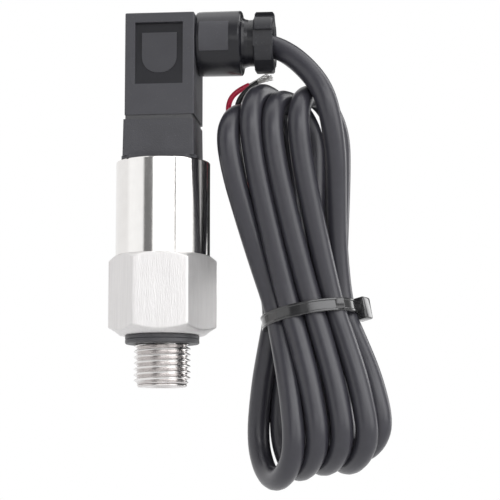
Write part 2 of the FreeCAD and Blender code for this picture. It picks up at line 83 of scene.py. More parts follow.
WAIST = (34.2, 0.2, 6.65)          # middle of the tied waist in the hank's own frame
WAIST_SEMI = (10.4, 8.8)           # inside half width and half depth of the strap
STRAP_SLOPE = math.radians(9.4)
STRAP_TILT = math.radians(8.0)
RATCHET_TURN = math.radians(-30.0)
STRAP_WIDTH = 3.0
STRAP_THICK = 1.0
RATCHET_SIZE = (3.2, 3.6, 5.2)     # along the strap's radius, along the strap, and upright
RATCHET_DROP = 0.4                 # the head's middle lies this far under the strap's
TAIL_SIZE = (2.7, 2.2, STRAP_WIDTH - 0.3)
TAIL_PLACE = (6.55, -7.1, 0.0)

# the plug's polished areas; the recess floors are also darkened with painted shade
RECESS_X = (-5.53, 5.58)           # floor of the recess in the front and rear faces
RECESS_Z = (59.93, 74.47)
RECESS_DEPTH = (7.0, 8.09)         # from the axis: under the floor, and just under the outer face
PAD_X = 0.1                        # middle of the U-shaped pad that stands in the recess
PAD_TOP = 72.0
PAD_FOOT = 66.3                    # height where the pad's round foot begins
PAD_CORNER_R = 3.7
PAD_STRAIGHT = 0.375               # half width of the foot's level part
COLLAR_START = 8.27
FLAT_X = (9.2, 16.1)               # the collar's spanner flats, which are not polished
FLAT_Z = (67.65, 74.7)
FLAT_DEPTH = 5.0

# camera, in the row frame
EYE = (62.3, -412.1, -30.5)
LENS = 129.6                       # millimetres on a 36 mm sensor
PITCH = math.radians(7.2)
YAW = math.radians(5.8)
FLOOR_DROP = 120.0                 # the floor lies this far under the lowest cord
FLOOR_HALF = 3.0                   # metres

# studio tent: its brightness by azimuth, 0 towards the camera and 90 to the right
TENT = [
    (-180, 0.97), (-96, (0.98, 0.97, 0.97)), (-84, 1.15), (-46.5, 1.1),
    (-43.4, 0.2), (-23, 0.24),                       # dark card, left of the camera
    (-19.5, 0.5), (29.5, 0.5), (30.5, 0.0), (34.2, 0.0),
    (35.6, 2.8), (73, 2.8),                          # bright card, right of the camera
    (81, 0.7), (104, 0.3), (107, 0.55), (113, 0.55),
    (116.5, 2.3), (122, 3.1), (136, 3.1),            # bright card behind the hank
    (142, 0.03), (172, 0.03), (179, 0.5)]
# soft panels in front of the tent: azimuths, sines of elevation, edge softness and colour
LOW_PANEL = ((-23.0, 31.0), (0.02, 0.28), 0.05, (2.2, 2.2, 2.2))
HIGH_PANEL = ((-6.0, 66.0), (0.33, 0.66), 0.06, (3.6, 3.6, 3.65))
SIDE_FADE = (3.5, 1.5)             # degrees over which a panel's left and right sides fade
LID = ((0.8, 0.96), (1.9, 1.9, 1.92))                # overhead and underneath


# ---- shader maths ------------------------------------------------------------------------
class Socket:
    """A shader socket whose arithmetic adds Math nodes."""

    def __init__(self, tree, socket):
        self.tree = tree
        self.socket = socket

    def maths(self, operation, *others):
        node = self.tree.nodes.new("ShaderNodeMath")
        node.operation = operation
        for slot, value in zip(node.inputs, (self, *others)):
            feed(self.tree, slot, value)
        return Socket(self.tree, node.outputs[0])

    def __add__(self, other):
        return self.maths("ADD", other)

    def __radd__(self, other):
        return self.maths("ADD", other)

    def __sub__(self, other):
        return self.maths("SUBTRACT", other)

    def __rsub__(self, other):
        return (self * -1.0) + other

    def __mul__(self, other):
        return self.maths("MULTIPLY", other)

    def __rmul__(self, other):
        return self.maths("MULTIPLY", other)

    def __truediv__(self, other):
        return self.maths("DIVIDE", other)

    def step(self, low, high):
        """0 below low, 1 above high, and a smooth rise between them."""
        node = self.tree.nodes.new("ShaderNodeMapRange")
        node.interpolation_type = "SMOOTHSTEP"
        for slot, value in zip(node.inputs, (self, low, high, 0.0, 1.0)):
            feed(self.tree, slot, value)
        return Socket(self.tree, node.outputs[0])


def feed(tree, slot, value):
    """Link a socket, or set a constant."""
    if isinstance(value, Socket):
        tree.links.new(value.socket, slot)
    else:
        slot.default_value = value


class Nodes:
    """Adds nodes to one tree."""

    def __init__(self, tree):
        self.tree = tree

    def node(self, kind, settings=None, inputs=None, output=0):
        node = self.tree.nodes.new("ShaderNode" + kind)
        for key, value in (settings or {}).items():
            if key == "stops":
                self.set_stops(node.color_ramp, value)
            else:
                setattr(node, key, value)
        for key, value in (inputs or {}).items():
            feed(self.tree, node.inputs[key], value)
        return Socket(self.tree, node.outputs[output])

    @staticmethod
    def set_stops(ramp, stops):
        while len(ramp.elements) < len(stops):
            ramp.elements.new(1.0)
        for element, (place, colour) in zip(ramp.elements, stops):
            element.position = place
            element.color = (*colour, 1.0) if isinstance(colour, tuple) else (colour, colour, colour, 1.0)

    def parts(self, vector):
        """The three parts of a vector."""
        node = self.tree.nodes.new("ShaderNodeSeparateXYZ")
        feed(self.tree, node.inputs[0], vector)
        return [Socket(self.tree, out) for out in node.outputs]

    def mix(self, factor, first, second):
        node = self.tree.nodes.new("ShaderNodeMix")
        node.data_type = "RGBA"
        feed(self.tree, node.inputs["Factor"], factor)
        feed(self.tree, node.inputs["A"], colour(first))
        feed(self.tree, node.inputs["B"], colour(second))
        return Socket(self.tree, node.outputs["Result"])


class Finish(Nodes):
    """A procedural material on millimetre coordinates of its piece."""

    def __init__(self, name, **constants):
        self.material = bpy.data.materials.new(name)
        self.material.use_nodes = True
        super().__init__(self.material.node_tree)
        self.shader = self.tree.nodes["Principled BSDF"]
        for key, value in constants.items():
            self.shader.inputs[key.replace("_", " ")].default_value = value
        self.coordinates = self.node("TexCoord", output="Object")

    def place(self, scale=(1, 1, 1)):
        """Coordinates in millimetres, each axis stretched by scale."""
        return self.node("Mapping", inputs={"Vector": self.coordinates, "Scale": [s / MM for s in scale]})

    def noise(self, scale, detail=2.0, roughness=0.5, place=None):
        """Noise from 0 to 1; scale is grains in a millimetre."""
        return self.node("TexNoise", inputs={
            "Vector": place or self.place(), "Scale": scale, "Detail": detail, "Roughness": roughness})

    def cells(self, scale):
        return self.node("TexVoronoi", inputs={"Vector": self.place(), "Scale": scale}, output="Distance")

    def vary(self, **sockets):
        for key, value in sockets.items():
            feed(self.tree, self.shader.inputs[key.replace("_", " ")], value)

    def bump(self, height, distance):
        """Relief of a height from 0 to 1 that stands distance millimetres high."""
        self.vary(Normal=self.node("Bump", inputs={
            "Height": height, "Distance": distance * MM, "Strength": 1.0}))


def colour(value):
    if isinstance(value, Socket):
        return value
    return (*value, 1.0)


# ---- finishes ----------------------------------------------------------------------------
def brushed_stainless():
    """Satin hexagon with upright grain; turned marks on the thread and the chamfers."""
    finish = Finish("brushed_stainless", Metallic=1.0)
    grain = finish.noise(1.0, 3.0, 0.6, finish.place((9.0, 9.0, 0.5)))
    cloud = finish.noise(0.25, 2.0, 0.5)
    streak = finish.noise(1.0, 2.0, 0.5, finish.place((2.2, 2.2, 0.08)))
    tone = finish.mix(grain * 0.5 + streak * 0.5, (0.60, 0.585, 0.582), (0.83, 0.82, 0.815))
    finish.vary(Base_Color=tone, Roughness=0.34 + grain * 0.14 + cloud * 0.06)
    finish.bump(grain, 0.08)
    return finish.material


def threaded_stainless():
    """Machined thread: bright crests, roots darkened with painted shade, tool marks round the flanks."""
    finish = Finish("threaded_stainless", Metallic=1.0)
    x, y = finish.parts(finish.coordinates)[:2]
    radius = (x * x + y * y).maths("SQRT") / MM
    crest = radius.step(THREAD_R - THREAD_DEPTH, THREAD_R - 0.2)
    marks = finish.noise(1.0, 2.0, 0.6, finish.place((0.5, 0.5, 14.0)))
    stain = finish.noise(0.6, 3.0, 0.6)
    # the roots' darker colour is painted shade
    tone = finish.mix(crest, (0.64, 0.615, 0.605), (0.79, 0.775, 0.765))
    finish.vary(Base_Color=finish.mix(stain.step(0.45, 0.8) * 0.2, tone, (0.56, 0.52, 0.50)),
                Roughness=0.12 + marks * 0.08 + (1 - crest) * 0.1)
    finish.bump(marks, 0.006)
    return finish.material


def turned_stainless():
    """Mirror-turned steel with very fine marks round it and faint upright rubs."""
    finish = Finish("turned_stainless", Metallic=1.0)
    marks = finish.noise(1.0, 2.0, 0.6, finish.place((0.12, 0.12, 22.0)))
    wave = finish.noise(1.0, 1.0, 0.5, finish.place((0.1, 0.1, 0.7)))
    smear = finish.noise(0.35, 3.0, 0.55)
    rub = finish.noise(1.0, 3.0, 0.6, finish.place((3.0, 3.0, 0.12)))
    tone = finish.mix(smear * 0.6 + rub * 0.4, (0.74, 0.725, 0.71), (0.87, 0.86, 0.845))
    finish.vary(Base_Color=tone, Roughness=0.07 + marks * 0.05 + rub.step(0.5, 0.75) * 0.08)
    finish.bump(marks * 0.5 + wave * 0.3 + rub * 0.2, 0.006)
    return finish.material


def screw_steel():
    finish = Finish("screw_steel", Metallic=1.0)
    wear = finish.noise(1.6, 3.0, 0.6)
    finish.vary(Base_Color=finish.mix(wear, (0.50, 0.50, 0.50), (0.68, 0.67, 0.66)),
                Roughness=0.24 + wear * 0.16)
    finish.bump(wear, 0.01)
    return finish.material


def tinned_metal():
    finish = Finish("tinned_metal", Metallic=1.0)
    wear = finish.noise(2.2, 3.0, 0.6)
    finish.vary(Base_Color=finish.mix(wear, (0.46, 0.45, 0.43), (0.70, 0.69, 0.67)),
                Roughness=0.2 + wear * 0.2)
    finish.bump(wear, 0.012)
    return finish.material


def socket_brass():
    finish = Finish("socket_brass", Metallic=1.0)
    wear = finish.noise(1.4, 3.0, 0.6)
    finish.vary(Base_Color=finish.mix(wear, (0.70, 0.50, 0.20), (0.82, 0.64, 0.32)),
                Roughness=0.22 + wear * 0.2)
    finish.bump(wear, 0.01)
    return finish.material


def soft_rubber(name, dark, light, rough):
    finish = Finish(name)
    dust = finish.noise(1.1, 4.0, 0.65)
    pores = finish.noise(9.0, 2.0, 0.5)
    finish.vary(Base_Color=finish.mix(dust, dark, light), Roughness=rough + pores * 0.14)
    finish.bump(pores, 0.02)
    return finish.material


def seal_rubber():
    return soft_rubber("seal_rubber", (0.034, 0.034, 0.038), (0.075, 0.075, 0.08), 0.4)


def gasket_rubber():
    return soft_rubber("gasket_rubber", (0.045, 0.045, 0.048), (0.08, 0.08, 0.083), 0.55)


def cell_ceramic():
    finish = Finish("cell_ceramic", Coat_Weight=0.15)
    speck = finish.noise(2.5, 3.0, 0.6)
    finish.vary(Base_Color=finish.mix(speck, (0.78, 0.77, 0.73), (0.88, 0.87, 0.84)),
                Roughness=0.3 + speck * 0.15)
    finish.bump(speck, 0.01)
    return finish.material


def board_laminate():
    """Green solder resist over glass weave and copper tracks."""
    finish = Finish("board_laminate", Coat_Weight=0.4)
    weave_x = finish.node("TexWave", {"bands_direction": "X"}, {"Vector": finish.place(), "Scale": 0.6})
    weave_z = finish.node("TexWave", {"bands_direction": "Z"}, {"Vector": finish.place(), "Scale": 0.6})
    tracks = finish.cells(0.35).step(0.48, 0.52)
    tone = finish.mix(tracks, (0.012, 0.10, 0.04), (0.03, 0.20, 0.08))
    finish.vary(Base_Color=tone, Roughness=0.32 + weave_x * 0.06)
    finish.bump(weave_x * 0.5 + weave_z * 0.5, 0.01)
    return finish.material


def chip_epoxy():
    return soft_rubber("chip_epoxy", (0.012, 0.012, 0.013), (0.03, 0.03, 0.031), 0.5)


def trimmer_blue():
    finish = Finish("trimmer_blue")
    mottle = finish.noise(2.0, 3.0, 0.6)
    finish.vary(Base_Color=finish.mix(mottle, (0.02, 0.07, 0.34), (0.04, 0.12, 0.46)),
                Roughness=0.28 + mottle * 0.12)
    finish.bump(mottle, 0.01)
    return finish.material


def moulded(name, dark, light, rough, grain, relief):
    """Glass-filled moulding: cloudy tone with a fine spark-eroded grain."""
    finish = Finish(name, Specular_IOR_Level=0.35)
    cloud = finish.noise(0.22, 3.0, 0.6)
    fine = finish.noise(grain, 3.0, 0.6)
    flecks = finish.noise(grain * 0.45, 2.0, 0.5).step(0.62, 0.75)
    tone = finish.mix(flecks * 0.25, finish.mix(cloud, dark, light), (0.12, 0.12, 0.125))
    rough = fine * 0.16 + cloud * 0.06 + rough
    finish.vary(Base_Color=tone, Roughness=rough)
    finish.bump(fine * 0.8 + flecks * 0.2, relief)
    return finish, tone, rough


def inside(part, ends):
    """1 where a socket lies between two values."""
    low, high = ends
    return part.step(low - 0.04, low + 0.04) * (1 - part.step(high - 0.04, high + 0.04))


def plug_nylon():
    """Spark-eroded faces and pads; polished recess floors, darkened with painted shade, and a polished
    collar.
    """
    finish, tone, rough = moulded(
        "plug_nylon", (0.042, 0.042, 0.048), (0.056, 0.056, 0.063), 0.36, 5.0, 0.022)
    x, y, z = (part / MM for part in finish.parts(finish.coordinates))
    depth = y.maths("ABSOLUTE")
    low, high = RECESS_DEPTH
    recess = inside(x, RECESS_X) * inside(z, RECESS_Z) * depth.step(low, low + 0.1) * (
        1 - depth.step(high, high + 0.005))
    shoulder = ((x - PAD_X).maths("ABSOLUTE") - PAD_STRAIGHT).maths("MAXIMUM", 0.0)
    foot = (PAD_FOOT - z).maths("MAXIMUM", 0.0)
    corner = (shoulder * shoulder + foot * foot).maths("SQRT")
    pad = (1 - corner.step(PAD_CORNER_R - 0.04, PAD_CORNER_R + 0.04)) * (
        1 - z.step(PAD_TOP - 0.04, PAD_TOP + 0.04))
    flat = inside(x, FLAT_X) * inside(z, FLAT_Z) * depth.step(FLAT_DEPTH, FLAT_DEPTH + 0.1)
    collar = x.step(COLLAR_START, COLLAR_START + 0.03) * (1 - flat)
    # the darker colour on the recess floors is painted shade over their smoother finish; on the collar it
    # is the polished collar's own tone
    polish_and_recess_shade = (recess * (1 - pad * 0.75)).maths("MAXIMUM", collar)
    finish.vary(Base_Color=finish.mix(polish_and_recess_shade, tone, (0.012, 0.012, 0.015)), Roughness=rough - polish_and_recess_shade * 0.24)
    return finish.material


def nut_nylon():
    finish, *_ = moulded("nut_nylon", (0.018, 0.018, 0.021), (0.028, 0.028, 0.032), 0.24, 5.0, 0.02)
    return finish.material


def base_nylon():
    finish, *_ = moulded("base_nylon", (0.040, 0.040, 0.045), (0.062, 0.062, 0.069), 0.44, 3.2, 0.06)
    return finish.material


def cable_jacket():
    """Soft dark sheath, a little dusty, with faint drawing marks."""
    finish = Finish("cable_jacket")
    dust = finish.noise(0.5, 4.0, 0.65)
    fine = finish.noise(6.0, 3.0, 0.6)
    finish.vary(Base_Color=finish.mix(dust, (0.025, 0.0245, 0.031), (0.036, 0.0352, 0.044)),
                Roughness=0.22 + fine * 0.1 + dust * 0.08)
    finish.bump(fine, 0.012)
    return finish.material


def tie_nylon():
    finish = Finish("tie_nylon", Coat_Weight=0.6, Coat_Roughness=0.12)
    ripple = finish.noise(0.7, 2.0, 0.5)
    fine = finish.noise(7.0, 2.0, 0.5)
    finish.vary(Base_Color=finish.mix(ripple, (0.010, 0.010, 0.011), (0.020, 0.020, 0.021)),
                Roughness=0.1 + fine * 0.06)
    finish.bump(ripple * 0.7 + fine * 0.3, 0.012)
    return finish.material


def insulation(name, dark, light):
    finish = Finish(name)
    tone = finish.noise(1.5, 3.0, 0.6)
    finish.vary(Base_Color=finish.mix(tone, dark, light), Roughness=0.25 + tone * 0.14)
    finish.bump(tone, 0.01)
    return finish.material


def red_insulation():
    return insulation("red_insulation", (0.50, 0.012, 0.045), (0.68, 0.03, 0.09))


def black_insulation():
    return insulation("black_insulation", (0.012, 0.012, 0.013), (0.028, 0.028, 0.030))


FINISHES = [
    brushed_stainless, turned_stainless, screw_steel, tinned_metal, socket_brass, seal_rubber,
    gasket_rubber, cell_ceramic, board_laminate, chip_epoxy, trimmer_blue, plug_nylon, nut_nylon,
    base_nylon, cable_jacket, tie_nylon, red_insulation, black_insulation]
MATERIALS = {maker.__name__: maker() for maker in FINISHES}
SLOTS = {part["node"]: part["material_slot"] for part in frame["record"]["subparts"]}


# ---- pieces ------------------------------------------------------------------------------
def dress_nodes():
    """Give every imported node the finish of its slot."""
    for name, node in frame["nodes"].items():
        node.data.materials.clear()
        node.data.materials.append(MATERIALS[SLOTS[name]])


def mesh_piece(name, bm, material, body, *nodes, slot=None, smooth=40.0):
    """Finish a bmesh as a piece that rides on a body and stands for some nodes."""
    bmesh.ops.remove_doubles(bm, verts=bm.verts, dist=0.0005 * MM)
    bmesh.ops.recalc_face_normals(bm, faces=bm.faces)
    mesh = bpy.data.meshes.new(name)
    bm.to_mesh(mesh)
    bm.free()
    piece = bpy.data.objects.new(name, mesh)
    SCENE.collection.objects.link(piece)
    mesh.materials.append(material)
    mesh.shade_smooth()
    mesh.set_sharp_from_angle(angle=math.radians(smooth))
    return settle(piece, body, nodes)


def settle(piece, body, nodes):
    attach(piece, body)
    if nodes:
        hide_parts(*nodes)
    return piece


def spin_outline(bm, points, steps):
    """Turn an open (radius, height) outline, in millimetres, once about the Z axis."""
    row = [bm.verts.new((r * MM, 0, h * MM)) for r, h in points]
    edges = [bm.edges.new(pair) for pair in zip(row, row[1:])]
    bmesh.ops.spin(bm, geom=row + edges, cent=(0, 0, 0), axis=(0, 0, 1), dvec=(0, 0, 0),
                   angle=math.tau, steps=steps, use_merge=True, use_duplicate=False)


def threaded_stud(bm):
    """The stud: relief, helical thread that fades into the chamfer, pilot end and port."""
    low, high = THREAD_Z
    per_turn = 14                  # rings in one pitch of the thread
    turns = int((high - low) / THREAD_PITCH) + 3
    middle = THREAD_R - THREAD_DEPTH / 2
    row = []
    for k in range(turns * per_turn + 1):
        height = low - THREAD_PITCH * 1.5 + THREAD_PITCH * k / per_turn
        radius = middle + THREAD_DEPTH / 2 * math.cos(math.tau * k / per_turn)
        row.append(bm.verts.new((radius * MM, 0, height * MM)))
    edges = [bm.edges.new(pair) for pair in zip(row, row[1:])]
    bmesh.ops.spin(bm, geom=row + edges, cent=(0, 0, 0), axis=(0, 0, 1),
                   dvec=(0, 0, THREAD_PITCH * MM / ROUND_STEPS), angle=math.tau, steps=ROUND_STEPS,
                   use_merge=False, use_duplicate=False)
    bmesh.ops.remove_doubles(bm, verts=bm.verts, dist=0.001 * MM)
    for height, up in ((low - 1.0, -1), (high - 0.05, 1)):
        bmesh.ops.bisect_plane(bm, geom=bm.verts[:] + bm.edges[:] + bm.faces[:], dist=1e-7,
                               plane_co=(0, 0, height * MM), plane_no=(0, 0, up), clear_outer=True)
    for vert in bm.verts:
        height = vert.co.z / MM
        radius = vert.co.xy.length / MM
        allowed = min(PILOT_R - 0.25 + (height - low + 1.0) * 0.95, THREAD_R,
                      RELIEF_R + (high - 0.05 - height) * 1.2)
        if radius > allowed:
            vert.co.xy *= allowed / radius


# the hexagon and the stud
HEX_AF = 22.0
HEX_Z = (2.1, 20.5)
HEX_TURN = math.radians(5.3)
HEX_COLUMNS = 20                   # columns on each face
HEX_EDGE_R = 0.65                  # the upright edges are this blunt
MACHINED_TOP = 0.9                 # the thread's finish ends here


def hexagon_radius(angle):
    """Distance from the axis to the blunt hexagon in one direction."""
    off = (angle - HEX_TURN) % math.radians(60.0) - math.radians(30.0)
    flat = HEX_AF / 2 / math.cos(off)
    blunt = HEX_AF / math.sqrt(3) - HEX_EDGE_R * (2 / math.sqrt(3) - 1)
    edge = math.radians(30.0) - abs(off)
    middle = blunt - HEX_EDGE_R
    across = middle * math.sin(edge)
    round_end = middle * math.cos(edge) + math.sqrt(max(HEX_EDGE_R ** 2 - across ** 2, 0.0))
    return min(flat, round_end) if across < HEX_EDGE_R else flat


def hexagon(bm):
    """Hexagon with turned ends above and below, closed but for the stud's hole."""
    low, high = HEX_Z
    knee_r, knee = 11.2, low + 1.0
    foot_r, top_r = 9.9, 11.05
    low_slope, top_slope = 0.6, 0.75
    count = 6 * HEX_COLUMNS

    def ring(place):
        loop = []
        for k in range(count):
            # columns crowd towards the upright edges
            share = k % HEX_COLUMNS / HEX_COLUMNS
            share -= 0.12 * math.sin(math.tau * share)
            angle = HEX_TURN + math.radians(60.0) * (k // HEX_COLUMNS + share)
            radius, height = place(hexagon_radius(angle))
            across, away = radius * math.cos(angle), radius * math.sin(angle)
            loop.append(bm.verts.new((across * MM, away * MM, height * MM)))
        return [bm.edges.new(pair) for pair in zip(loop, loop[1:] + loop[:1])]

    def underside(radius):
        if radius < knee_r:
            return low + (radius - foot_r) / (knee_r - foot_r) * (knee - low)
        return knee + (radius - knee_r) * low_slope

    soft = 0.1
    rings = [
        ring(lambda r: (SHOULDER_R, low)),
        ring(lambda r: (foot_r - soft, low)),
        ring(lambda r: (foot_r + soft, underside(foot_r + soft))),
        ring(lambda r: (10.55, underside(10.55))),
        ring(lambda r: (min(r - soft, knee_r), underside(min(r - soft, knee_r)))),
        ring(lambda r: (r - soft, underside(r - soft))),
        ring(lambda r: (r, underside(r) + soft)),
        ring(lambda r: (r, underside(r) + 3 * soft)),
        ring(lambda r: (r, high - max(r - top_r, 0.0) * top_slope - 3 * soft)),
        ring(lambda r: (r, high - max(r - top_r, 0.0) * top_slope - soft)),
        ring(lambda r: (r - soft, high - max(r - soft - top_r, 0.0) * top_slope)),
        ring(lambda r: (min(top_r, r - 2 * soft), high)),
        ring(lambda r: (SPIGOT_R + 0.05, high)),
    ]
    for first, second in zip(rings, rings[1:]):
        bmesh.ops.bridge_loops(bm, edges=first + second)


def process_fitting():
    bm = bmesh.new()
    threaded_stud(bm)
    hexagon(bm)
    foot, top = HEX_Z
    spin_outline(bm, [
        (RELIEF_R, THREAD_Z[1] - 0.05), (RELIEF_R, foot + 0.1), (SHOULDER_R, foot + 0.1)], ROUND_STEPS)
    spin_outline(bm, [
        (PILOT_R - 0.25, THREAD_Z[0] - 1.0), (PILOT_R, STUD_END + 0.45), (PILOT_R, STUD_END + 0.25),
        (PILOT_R - 0.22, STUD_END), (PORT_R + 0.15, STUD_END), (PORT_R, STUD_END + 0.15),
        (PORT_R, 0.5), (CAPILLARY_R, 1.4), (CAPILLARY_R, 9.0), (0.0, 9.0)], ROUND_STEPS)
    spin_outline(bm, [
        (SPIGOT_R + 0.05, top), (SPIGOT_R, SPIGOT_TOP), (CHAMBER_R, SPIGOT_TOP),
        (CHAMBER_R, CHAMBER_FLOOR), (CAPILLARY_R, CHAMBER_FLOOR), (CAPILLARY_R, 9.0)], ROUND_STEPS)
    piece = mesh_piece("hexagon_and_stud", bm, MATERIALS["brushed_stainless"], "transmitter",
                       "process_fitting", slot="brushed_stainless", smooth=38.0)
    piece.data.materials.append(threaded_stainless())
    for face in piece.data.polygons:
        if face.center.z < MACHINED_TOP * MM:
            face.material_index = 1
    return piece


# ---- the cable ---------------------------------------------------------------------------
LEAD_ROUTE = [
    (13.1, -1.3, 70.85), (18.4, -1.9, 70.85), (23.9, -2.4, 70.7), (29.0, -3.6, 68.4),
    (33.5, -5.3, 64.2), (37.0, -7.4, 59.0), (38.8, -8.2, 53.2), (40.2, -6.4, 44.2),
    (40.3, -3.6, 34.0), (40.4, -1.4, 22.8)]
RED_ROUTE = [
    (20.1, 7.6, 34.6), (20.6, 8.1, 40.9), (19.4, 7.8, 47.3), (15.8, 5.6, 52.5), (14.9, 3.8, 57.1),
    (16.8, 2.8, 60.4), (20.2, 2.4, 61.8)]
BLACK_ROUTE = [
    (19.1, 6.3, 34.3), (19.1, 6.2, 40.9), (18.7, 5.3, 47.5), (17.2, 3.5, 52.9), (17.2, 2.0, 57.2),
    (19.4, 0.9, 60.3), (22.2, 0.3, 61.9)]
RED_TIP = (24.8, 1.5, 64.0)
BLACK_TIP = (25.7, -0.2, 63.1)
STRAND_COUNT = 8                   # fine wires of a core, one of them in the middle
STRAND_R = 0.085
STRAND_REACH = 0.3                 # from the twist's middle to its outer wires
STRAND_LAY = 0.6                   # turns of the twist
STRAND_FAN = 1.1                   # how much wider the twist is at its tip
STRAND_RINGS = 8

# each turn of the hank: where its front strand passes the waist (across, away), its foot, where
# its back strand passes the waist, and the crown it makes at the top to reach the next turn
TURNS = [
    {"front": (41.9, 0.6), "hip": (50.5, -8.0, -15.4), "foot": -24.4, "back": (40.2, 5.2),
     "shoulder": 42.1, "crown": 58.7, "next": 31.3, "lean": 1.5},
    {"front": (39.6, -4.2), "hip": (47.2, -11.0, -18.0), "foot": -27.5, "back": (35.0, 6.2),
     "shoulder": 36.0, "crown": 57.4, "next": 25.2, "lean": 1.6},
    {"front": (34.7, -5.6), "hip": (41.6, -11.0, -18.5), "foot": -27.8, "back": (32.5, 1.4),
     "shoulder": 30.6, "crown": 59.0, "next": 20.2, "lean": 1.5},
    {"front": (29.5, -5.2), "hip": (36.0, -11.0, -19.0), "foot": -29.0, "back": (29.4, 6.2),
     "shoulder": 25.1, "crown": 54.2, "next": 14.9, "lean": 1.2},
    {"front": (26.3, -1.8), "hip": (30.6, -11.0, -20.1), "foot": -31.2, "back": (26.3, 3.2),
     "shoulder": 19.6, "crown": None},
]
WAIST_Z = 8.0
REAR_SHIFT = (-8.7, 3.2)           # a foot's rear side lies this far across and above its front
SHOULDER_Z = 46.8
SHOULDER_DEPTH = 9.0
CROWN_MIDDLE = 58.4                # a crown above this has its shoulders higher too
BEND_POINTS = 5                    # control points of each half turn
CABLE_END = (7.0, 37.2)            # depth and height of the jacket's end


def hank_point(across, away, up):
    """Place of a point of the hank's own frame, given in millimetres."""
    return Vector((
        across * math.cos(HANK_TURN) - away * math.sin(HANK_TURN),
        across * math.sin(HANK_TURN) + away * math.cos(HANK_TURN), up)) * MM


def strand(waist, end, end_z, shares):
    """Points between the tied waist and the start of a bend, leaning out as they go."""
    points = []
    for share in shares:
        ease = share * (1.15 - 0.15 * share)
        points.append((
            waist[0] + (end[0] - waist[0]) * ease, waist[1] + (end[1] - waist[1]) * ease,
            WAIST_Z + (end_z - WAIST_Z) * share))
    return points


def bend(start, end, levels, tip, lean=1.0):
    """Half turn from one strand to the other, reaching its tip half way; lean moves it across early."""
    points = []
    for k in range(BEND_POINTS):
        angle = math.pi * (k + 0.5) / BEND_POINTS
        along = (1 - math.cos(angle) * 1.02) / 2
        level = levels[0] + (levels[1] - levels[0]) * along
        points.append((
            end[0] + (start[0] - end[0]) * math.copysign(abs(1 - along) ** lean, 1 - along),
            start[1] + (end[1] - start[1]) * along,
            level + (tip - level) * math.sin(angle) * 1.03))
    return points


def hank_route():
    """Control points of the whole cable: the free stretch, then every turn of the hank."""
    points = list(LEAD_ROUTE)
    for number, turn in enumerate(TURNS):
        across, depth, hip_z = turn["hip"]
        front = (across, depth)
        rear = (across + REAR_SHIFT[0], -depth)
        rear_z = hip_z + REAR_SHIFT[1]
        points += strand(turn["front"], front, hip_z, (0.0, 0.35, 0.7))
        points += bend(front, rear, (hip_z, rear_z), turn["foot"])
        points += strand(turn["back"], rear, rear_z, (0.7, 0.35, 0.0))
        if turn["crown"] is None:
            points += strand(turn["back"], (turn["shoulder"], CABLE_END[0]), CABLE_END[1], (0.35, 0.7, 1.0))
            break
        level = SHOULDER_Z + (turn["crown"] - CROWN_MIDDLE) * 0.6
        rear = (turn["shoulder"], SHOULDER_DEPTH)
        front = (turn["next"], -SHOULDER_DEPTH)
        points += strand(turn["back"], rear, level, (0.3, 0.6, 0.86))
        points += bend(rear, front, (level, level), turn["crown"], lean=turn["lean"])
        points += strand(TURNS[number + 1]["front"], front, level, (0.86, 0.6, 0.3))
    return [hank_point(*point) for point in points]


def smooth_cord(name, points, radius, detail=6):
    """Round cord along one NURBS spline."""
    curve = bpy.data.curves.new(name, "CURVE")
    curve.dimensions = "3D"
    curve.resolution_u = detail
    curve.bevel_depth = radius * MM
    curve.bevel_resolution = 6
    curve.use_fill_caps = True
    spline = curve.splines.new("NURBS")
    spline.points.add(len(points) - 1)
    for control, place in zip(spline.points, points):
        control.co = (*place, 1.0)
    spline.order_u = 3
    spline.use_endpoint_u = True
    piece = bpy.data.objects.new(name, curve)
    SCENE.collection.objects.link(piece)
    return piece


def cord_length(piece):
    """Length of a cord's own line, in metres."""
    bare = piece.data.copy()
    bare.bevel_depth = 0.0
    line = bpy.data.objects.new("line", bare)
    SCENE.collection.objects.link(line)
    mesh = bpy.data.meshes.new_from_object(line)
    places = [vert.co for vert in mesh.vertices]
    length = sum((places[edge.vertices[0]] - places[edge.vertices[1]]).length for edge in mesh.edges)
    bpy.data.objects.remove(line)
    bpy.data.meshes.remove(mesh)
    bpy.data.curves.remove(bare)
    return length


def cable(tie):
    route = hank_route()
    piece = smooth_cord("cable", route, CABLE_R, 7)
    piece.data.materials.append(MATERIALS["cable_jacket"])
    settle(piece, "angle_plug", ("cable_lead", "cable_hank"))
    return piece


def bare_core(name, route, material, node, strands):
    points = [hank_point(*point) for point in route]
    piece = smooth_cord(name, points, CORE_R, 8)
    piece.data.materials.append(MATERIALS[material])
    settle(piece, "angle_plug", (node,))
    cord_length(piece)
    return piece


def tinned_strands(name, start, tip, node):
    """A twist of fine tinned wires that fans out at its tip."""
    first, last = hank_point(*start), hank_point(*tip)
    along = (last - first).normalized()
    side = along.orthogonal().normalized()
    other = along.cross(side)
    turn = along.to_track_quat("Z", "Y").to_matrix().to_4x4()
    bm = bmesh.new()
    for wire in range(STRAND_COUNT):
        reach = 0.0 if wire == 0 else STRAND_REACH
        rows = []
        for k in range(STRAND_RINGS + 1):
            share = k / STRAND_RINGS
            angle = math.tau * (wire / (STRAND_COUNT - 1) + STRAND_LAY * share)
            spread = reach * (1.0 + STRAND_FAN * share ** 2) * MM
            centre = first.lerp(last, share * (1.0 - 0.03 * (wire % 3))) + (
                side * math.cos(angle) + other * math.sin(angle)) * spread
            loop = bmesh.ops.create_circle(
                bm, cap_ends=k in (0, STRAND_RINGS), segments=8, radius=STRAND_R * MM)["verts"]
            bmesh.ops.transform(bm, matrix=Matrix.Translation(centre) @ turn, verts=loop)
            rows.append(ring_edges(loop))
        for near, far in zip(rows, rows[1:]):
            bmesh.ops.bridge_loops(bm, edges=near + far)
    return mesh_piece(
        name, bm, MATERIALS["tinned_metal"], "angle_plug", node, slot="tinned_metal", smooth=50.0)


def ring_edges(loop):
    """The edges that join the vertices of one ring."""
    edges = dict.fromkeys(edge for vert in loop for edge in vert.link_edges)
    return [edge for edge in edges if all(vert in loop for vert in edge.verts)]


